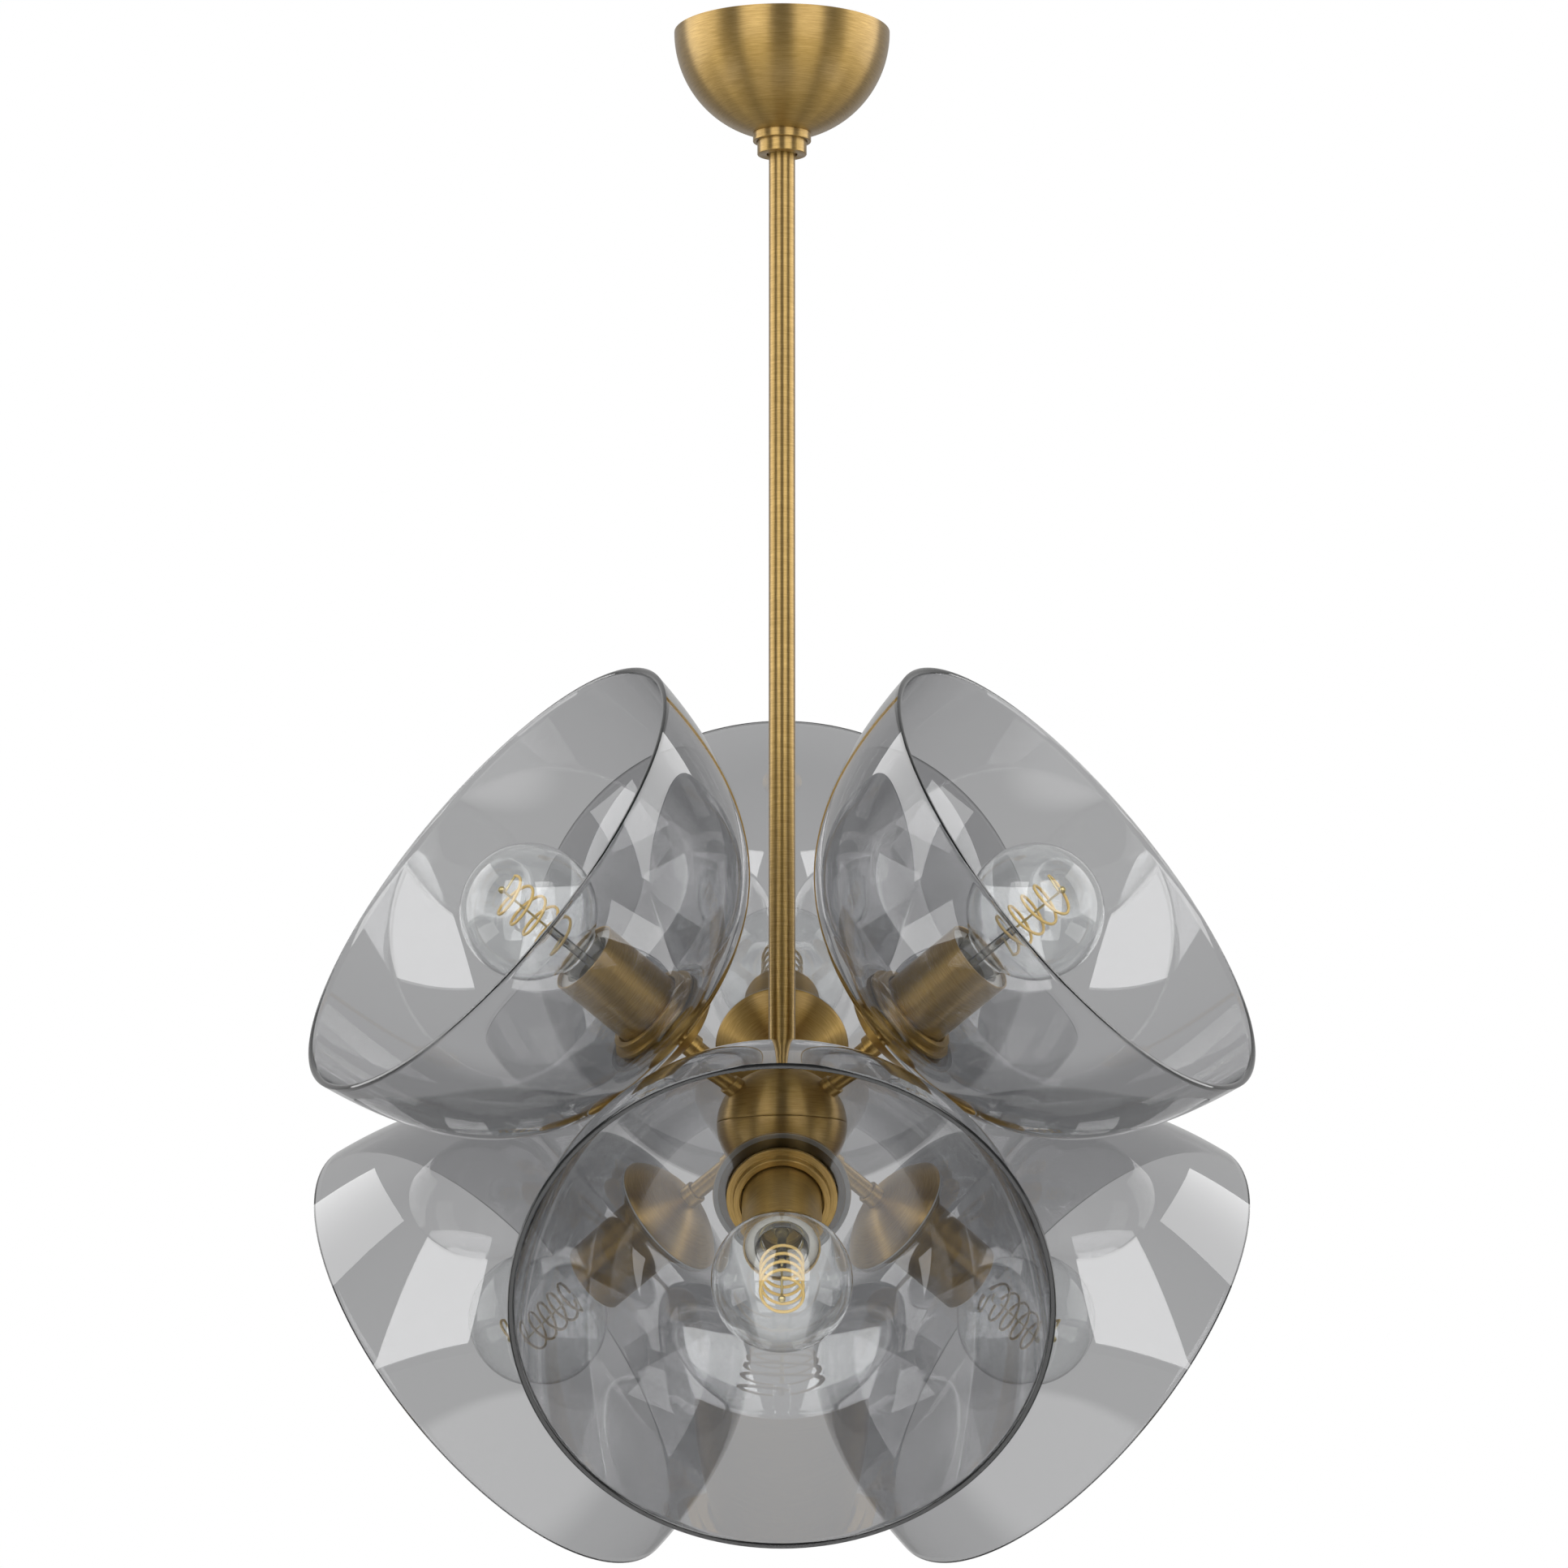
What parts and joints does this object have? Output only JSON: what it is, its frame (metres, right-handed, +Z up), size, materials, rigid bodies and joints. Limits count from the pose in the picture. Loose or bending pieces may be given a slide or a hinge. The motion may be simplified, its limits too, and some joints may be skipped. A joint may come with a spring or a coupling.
{
  "type": "cluster pendant",
  "caption": "Ceiling pendant: a bowl canopy and straight rod carry a ball hub whose arms point up and down, each with a smoke glass bowl, a lamp cup and a globe bulb.",
  "frame": {"origin": "on the ceiling, at the centre of the canopy's rim", "axes": "+Z up along the rod, +X to the right and +Y to the back as the picture shows it"},
  "size_m": [0.5528, 0.5626, 0.9156],
  "materials": {
    "antique_brass": "hand-rubbed antique brass, fine brushed lines",
    "turned_brass": "plain turned brass",
    "zinc_plated_steel": "zinc plated",
    "nylon": "natural nylon",
    "wire_insulation": "black wire insulation",
    "silicone": "translucent silicone",
    "glazed_ceramic": "glazed white ceramic",
    "smoke_glass": "mouth-blown smoke grey glass",
    "clear_glass": "clear bulb glass",
    "lamp_base_metal": "screw base metal",
    "amber_filament": "amber filament on a clear stem"
  },
  "bodies": {
    "ceiling_mount": {"crossbar": "zinc_plated_steel", "crossbar_fasteners": "zinc_plated_steel", "nipple": "zinc_plated_steel", "supply_leads": "wire_insulation", "swivel_housing": "antique_brass", "swivel_cap": "turned_brass"},
    "canopy_cover": {"canopy": "antique_brass", "canopy_ring": "antique_brass"},
    "swivel_ring": {"swivel_seat": "nylon"},
    "pendant": {"swivel_ball": "turned_brass", "rod": "antique_brass", "hub_upper": "antique_brass", "hub_lower": "antique_brass", "arms": "antique_brass", "arm_collars": "antique_brass", "wiring_harness": "wire_insulation", "shade_gaskets": "silicone", "lampholders": "glazed_ceramic", "shade_holder_1": "antique_brass", "shade_1": "smoke_glass", "socket_cup_1": "antique_brass", "shade_holder_2": "antique_brass", "shade_2": "smoke_glass", "socket_cup_2": "antique_brass", "shade_holder_3": "antique_brass", "shade_3": "smoke_glass", "socket_cup_3": "antique_brass", "shade_holder_4": "antique_brass", "shade_4": "smoke_glass", "socket_cup_4": "antique_brass", "shade_holder_5": "antique_brass", "shade_5": "smoke_glass", "socket_cup_5": "antique_brass", "shade_holder_6": "antique_brass", "shade_6": "smoke_glass", "socket_cup_6": "antique_brass"},
    "ring_1": {"lock_ring_1": "antique_brass"},
    "ring_2": {"lock_ring_2": "antique_brass"},
    "ring_3": {"lock_ring_3": "antique_brass"},
    "ring_4": {"lock_ring_4": "antique_brass"},
    "ring_5": {"lock_ring_5": "antique_brass"},
    "ring_6": {"lock_ring_6": "antique_brass"},
    "bulb_1": {"bulb_glass_1": "clear_glass", "bulb_base_1": "lamp_base_metal", "bulb_filament_1": "amber_filament"},
    "bulb_2": {"bulb_glass_2": "clear_glass", "bulb_base_2": "lamp_base_metal", "bulb_filament_2": "amber_filament"},
    "bulb_3": {"bulb_glass_3": "clear_glass", "bulb_base_3": "lamp_base_metal", "bulb_filament_3": "amber_filament"},
    "bulb_4": {"bulb_glass_4": "clear_glass", "bulb_base_4": "lamp_base_metal", "bulb_filament_4": "amber_filament"},
    "bulb_5": {"bulb_glass_5": "clear_glass", "bulb_base_5": "lamp_base_metal", "bulb_filament_5": "amber_filament"},
    "bulb_6": {"bulb_glass_6": "clear_glass", "bulb_base_6": "lamp_base_metal", "bulb_filament_6": "amber_filament"}
  },
  "joints": [
    {"name": "canopy_drop", "type": "slide", "parent": "ceiling_mount", "child": "canopy_cover", "axis": [0, 0, -1], "range_m": [0, 0.045]},
    {"name": "swivel_lean_x", "type": "hinge", "parent": "ceiling_mount", "child": "swivel_ring", "pos_m": [0, 0, -0.0678], "axis": [1, 0, 0], "range_deg": [-5, 5]},
    {"name": "swivel_lean_y", "type": "hinge", "parent": "swivel_ring", "child": "pendant", "pos_m": [0, 0, -0.0678], "axis": [0, 1, 0], "range_deg": [-5, 5]},
    {"name": "lock_ring_1_unscrew", "type": "slide", "parent": "pendant", "child": "ring_1", "axis": [0, 0.8358, 0.549], "range_m": [0, 0.045]},
    {"name": "lock_ring_2_unscrew", "type": "slide", "parent": "pendant", "child": "ring_2", "axis": [-0.7238, -0.4179, 0.549], "range_m": [0, 0.045]},
    {"name": "lock_ring_3_unscrew", "type": "slide", "parent": "pendant", "child": "ring_3", "axis": [0.7238, -0.4179, 0.549], "range_m": [0, 0.045]},
    {"name": "lock_ring_4_unscrew", "type": "slide", "parent": "pendant", "child": "ring_4", "axis": [0, -0.8387, -0.5446], "range_m": [0, 0.045]},
    {"name": "lock_ring_5_unscrew", "type": "slide", "parent": "pendant", "child": "ring_5", "axis": [0.7263, 0.4193, -0.5446], "range_m": [0, 0.045]},
    {"name": "lock_ring_6_unscrew", "type": "slide", "parent": "pendant", "child": "ring_6", "axis": [-0.7263, 0.4193, -0.5446], "range_m": [0, 0.045]},
    {"name": "bulb_1_unscrew", "type": "slide", "parent": "pendant", "child": "bulb_1", "axis": [0, 0.8358, 0.549], "range_m": [0, 0.034]},
    {"name": "bulb_2_unscrew", "type": "slide", "parent": "pendant", "child": "bulb_2", "axis": [-0.7238, -0.4179, 0.549], "range_m": [0, 0.034]},
    {"name": "bulb_3_unscrew", "type": "slide", "parent": "pendant", "child": "bulb_3", "axis": [0.7238, -0.4179, 0.549], "range_m": [0, 0.034]},
    {"name": "bulb_4_unscrew", "type": "slide", "parent": "pendant", "child": "bulb_4", "axis": [0, -0.8387, -0.5446], "range_m": [0, 0.034]},
    {"name": "bulb_5_unscrew", "type": "slide", "parent": "pendant", "child": "bulb_5", "axis": [0.7263, 0.4193, -0.5446], "range_m": [0, 0.034]},
    {"name": "bulb_6_unscrew", "type": "slide", "parent": "pendant", "child": "bulb_6", "axis": [-0.7263, 0.4193, -0.5446], "range_m": [0, 0.034]}
  ]
}
